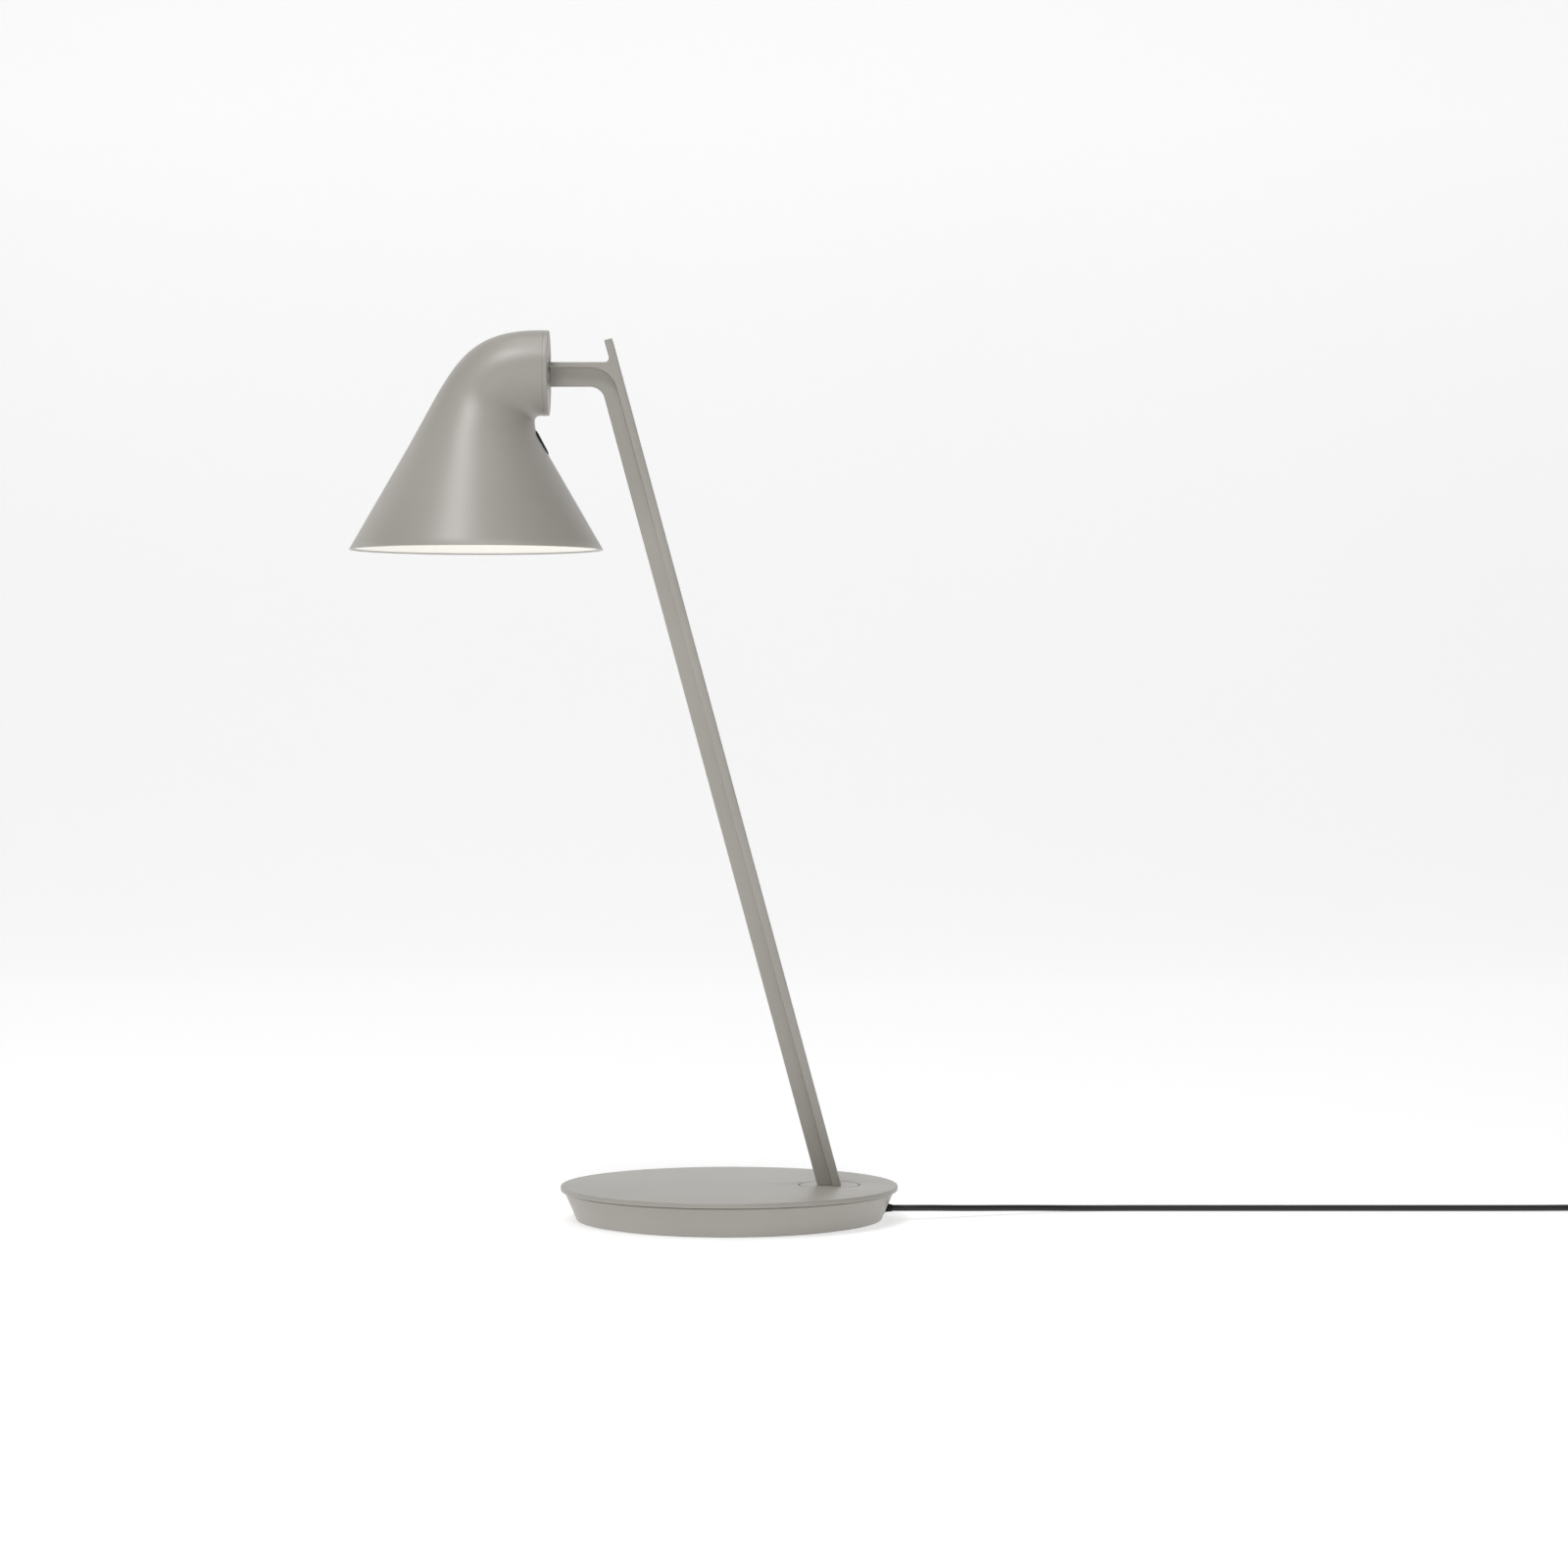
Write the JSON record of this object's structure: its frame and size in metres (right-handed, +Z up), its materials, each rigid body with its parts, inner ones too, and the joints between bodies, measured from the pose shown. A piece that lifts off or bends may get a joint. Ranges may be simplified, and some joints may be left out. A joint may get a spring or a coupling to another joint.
{
  "type": "desk lamp",
  "caption": "Desk lamp: round weighted foot, leaning T-section stem that swivels, bent arm, conical shade turning on the arm, dimmer button, low-voltage lead with plug-in driver.",
  "frame": {"origin": "centre of the foot's underside, on the desk", "axes": "+Z up; +X to the rear, where the lead leaves; the head hangs towards -X"},
  "size_m": [0.6585, 0.193, 0.4218],
  "materials": {
    "warm_grey_paint": "matt powder coat",
    "ballast_steel": "sawn and oiled",
    "zinc_steel": "zinc plated",
    "black_rubber": "matt",
    "bearing_plastic": "natural",
    "black_plastic": "fine spark texture",
    "lead_sheath": "smooth extruded",
    "tie_fabric": "woven strap",
    "circuit_board": "solder resist",
    "nickel_pins": "nickel plated",
    "white_liner": "satin white",
    "opal_diffuser": "opal, emissive",
    "bare_aluminium": "extruded",
    "white_board": "solder resist",
    "light_emitters": "phosphor, emissive",
    "button_rubber": "soft matt"
  },
  "bodies": {
    "foot": {"base_shell": "warm_grey_paint", "top_plate": "warm_grey_paint", "ballast": "ballast_steel", "bottom_plate": "zinc_steel", "foot_pad": "black_rubber", "plate_screws": "zinc_steel", "swivel_bush": "bearing_plastic", "friction_washer": "zinc_steel", "cord_grommet": "black_rubber", "cord_clamp": "black_plastic", "clamp_screws": "zinc_steel", "base_lead": "lead_sheath", "cord": "lead_sheath", "cord_coil": "lead_sheath", "cord_tie": "tie_fabric", "cord_tail": "lead_sheath", "adapter_relief": "lead_sheath", "adapter_housing": "black_plastic", "adapter_lid": "black_plastic", "adapter_board": "circuit_board", "plug_pins": "nickel_pins"},
    "stem": {"swivel_disc": "warm_grey_paint", "swivel_washer": "zinc_steel", "swivel_nut": "zinc_steel", "swivel_stop": "zinc_steel", "stem_arm": "warm_grey_paint", "stem_cover": "warm_grey_paint", "stem_lead": "lead_sheath", "arm_spigot": "zinc_steel", "stop_washer": "zinc_steel", "spigot_nut": "zinc_steel"},
    "head": {"shade": "warm_grey_paint", "neck_cap": "warm_grey_paint", "neck_bush": "bearing_plastic", "wave_washer": "zinc_steel", "reflector": "white_liner", "diffuser": "opal_diffuser", "module_ring": "zinc_steel", "heat_sink": "bare_aluminium", "module_screws": "zinc_steel", "led_board": "white_board", "led_emitters": "light_emitters", "switch_board": "circuit_board", "switch_bracket": "zinc_steel", "head_lead": "lead_sheath"},
    "button": {"dimmer_button": "button_rubber"}
  },
  "joints": [
    {"name": "stem_swivel", "type": "hinge", "parent": "foot", "child": "stem", "pos_m": [0.0475, 0, 0.0155], "axis": [0, 0, 1], "range_deg": [-90, 90]},
    {"name": "head_turn", "type": "hinge", "parent": "stem", "child": "head", "pos_m": [-0.0853, 0, 0.4016], "axis": [1, 0, 0], "range_deg": [-90, 90]},
    {"name": "dimmer_press", "type": "slide", "parent": "head", "child": "button", "axis": [-0.8829, 0, -0.4695], "range_m": [0, 0.0006], "stiffness_N_per_m": 2500}
  ]
}
